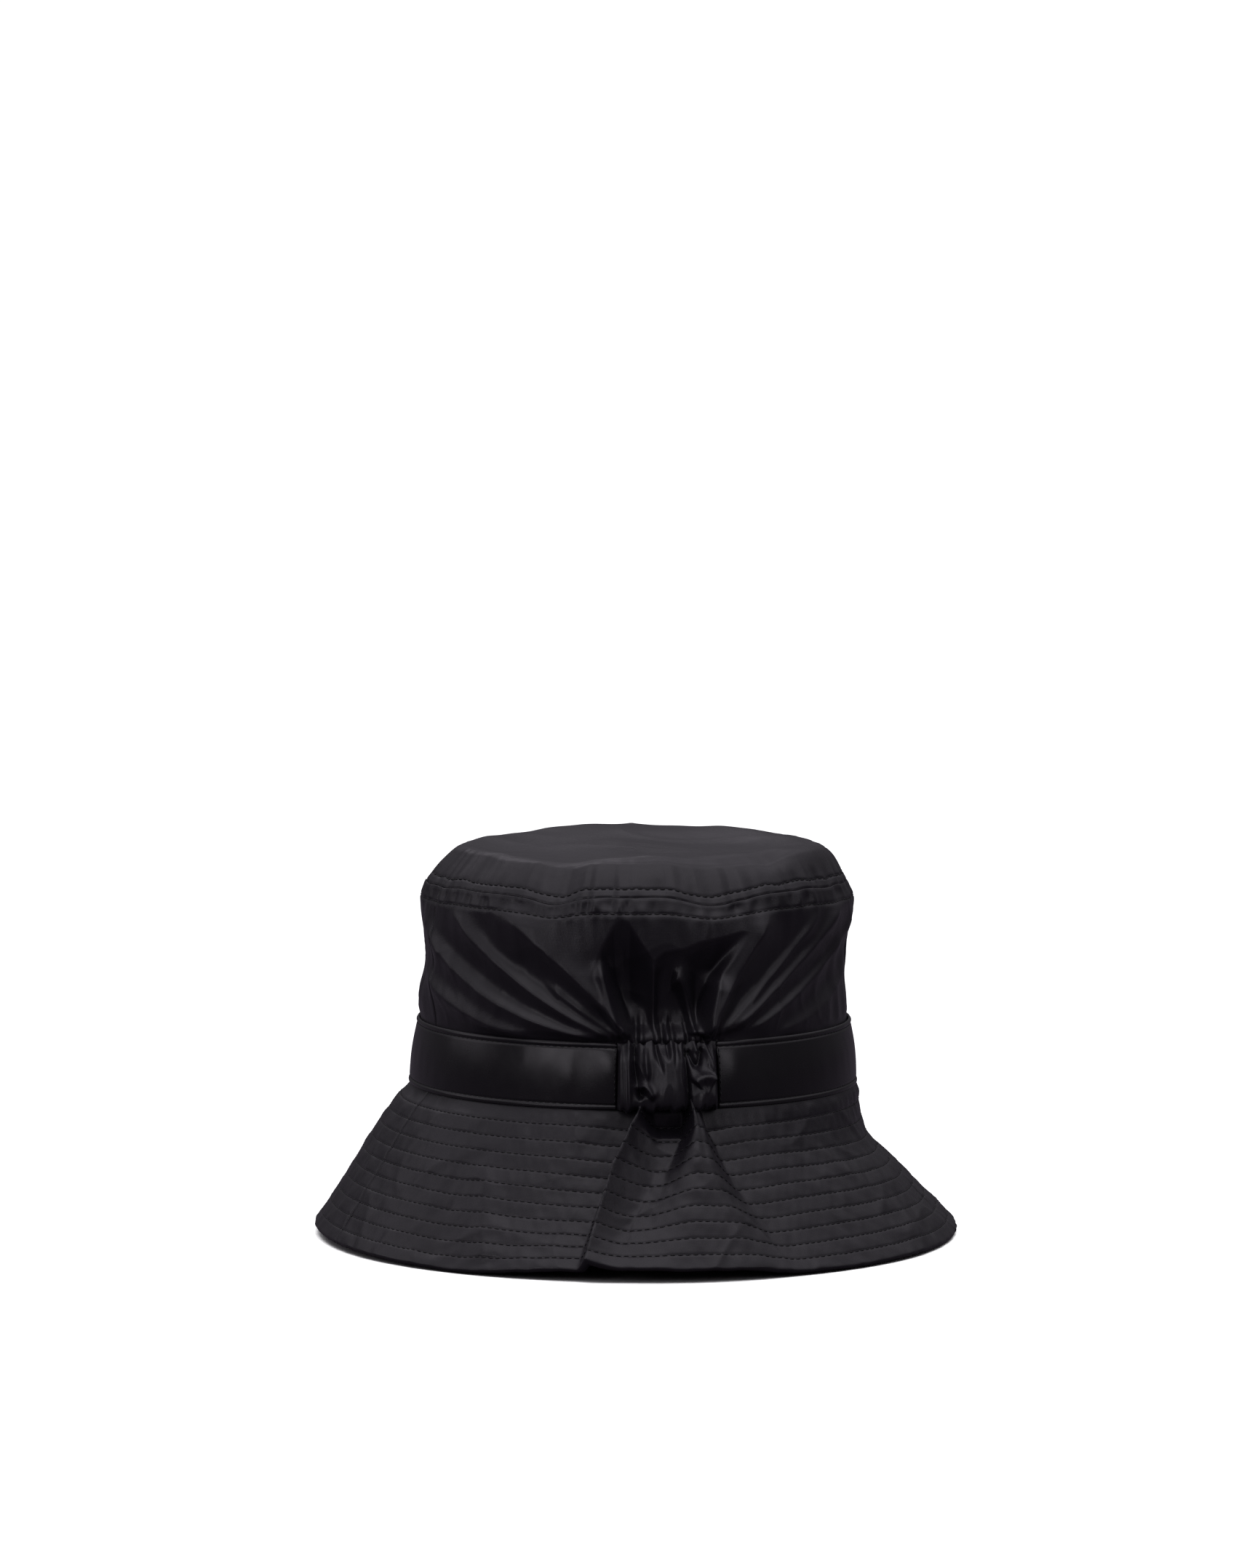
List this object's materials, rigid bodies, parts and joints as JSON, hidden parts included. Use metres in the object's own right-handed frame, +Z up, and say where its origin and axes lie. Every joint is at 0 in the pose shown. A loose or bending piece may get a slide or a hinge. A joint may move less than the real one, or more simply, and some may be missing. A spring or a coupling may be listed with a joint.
{
  "type": "bucket hat",
  "caption": "Soft bucket hat: flat-topped crown, flared brim with rows of top stitching, self-fabric band, and a gathered elastic casing at the back.",
  "frame": {"origin": "middle of the plane that the brim's edge rests on", "axes": "+Z up through the crown, +Y towards the front of the hat (away from the gathered casing), +X to the wearer's right"},
  "size_m": [0.26, 0.276, 0.1615],
  "materials": {
    "black_nylon": "crisp woven nylon with a soft sheen",
    "black_satin": "smooth satin face of the same nylon",
    "black_lining": "plain lining taffeta",
    "grey_interlining": "non-woven stiffener",
    "ribbed_tape": "ribbed grosgrain tape",
    "black_elastic": "braided elastic",
    "label_satin": "woven satin, blank",
    "black_thread": "polyester sewing thread"
  },
  "bodies": {
    "hat_body": {"crown_wall_front": "black_nylon", "crown_wall_back": "black_nylon", "wall_topstitch": "black_thread", "wall_lining": "black_lining", "hat_band": "black_satin", "band_interlining": "grey_interlining", "band_top_stitch": "black_thread", "band_bottom_stitch": "black_thread", "back_casing": "black_nylon", "back_elastic": "black_elastic", "casing_end_stitch_left": "black_thread", "casing_end_stitch_right": "black_thread", "brim_upper_front": "black_nylon", "brim_upper_back": "black_nylon", "brim_interlining": "grey_interlining", "brim_under_front": "black_nylon", "brim_under_back": "black_nylon", "brim_stitch_row_01": "black_thread", "brim_stitch_row_02": "black_thread", "brim_stitch_row_03": "black_thread", "brim_stitch_row_04": "black_thread", "brim_stitch_row_05": "black_thread", "brim_stitch_row_06": "black_thread", "brim_stitch_row_07": "black_thread", "brim_stitch_row_08": "black_thread", "brim_stitch_row_09": "black_thread", "brim_stitch_row_10": "black_thread", "sweatband": "ribbed_tape", "sweatband_stitch": "black_thread", "care_label_stitch": "black_thread", "size_tab_stitch": "black_thread"},
    "crown_top": {"crown_tip": "black_nylon", "tip_lining": "black_lining", "tip_seam_tape": "black_lining", "tip_topstitch": "black_thread"},
    "care_label_flap": {"care_label": "label_satin"},
    "size_tab_flap": {"size_tab": "label_satin"}
  },
  "joints": [
    {"name": "crown_collapse", "type": "slide", "parent": "hat_body", "child": "crown_top", "axis": [0, 0, -1], "range_m": [0, 0.042], "stiffness_N_per_m": 6, "deforming": ["crown_wall_front", "crown_wall_back", "wall_topstitch", "wall_lining"]},
    {"name": "care_label_lift", "type": "hinge", "parent": "hat_body", "child": "care_label_flap", "pos_m": [-0.05562, -0.06923, 0.0875], "axis": [0.7218, -0.6921, 0], "range_deg": [0, 100]},
    {"name": "size_tab_lift", "type": "hinge", "parent": "hat_body", "child": "size_tab_flap", "pos_m": [-0.01645, -0.09026, 0.0875], "axis": [0.9772, -0.2125, 0], "range_deg": [0, 100]}
  ]
}
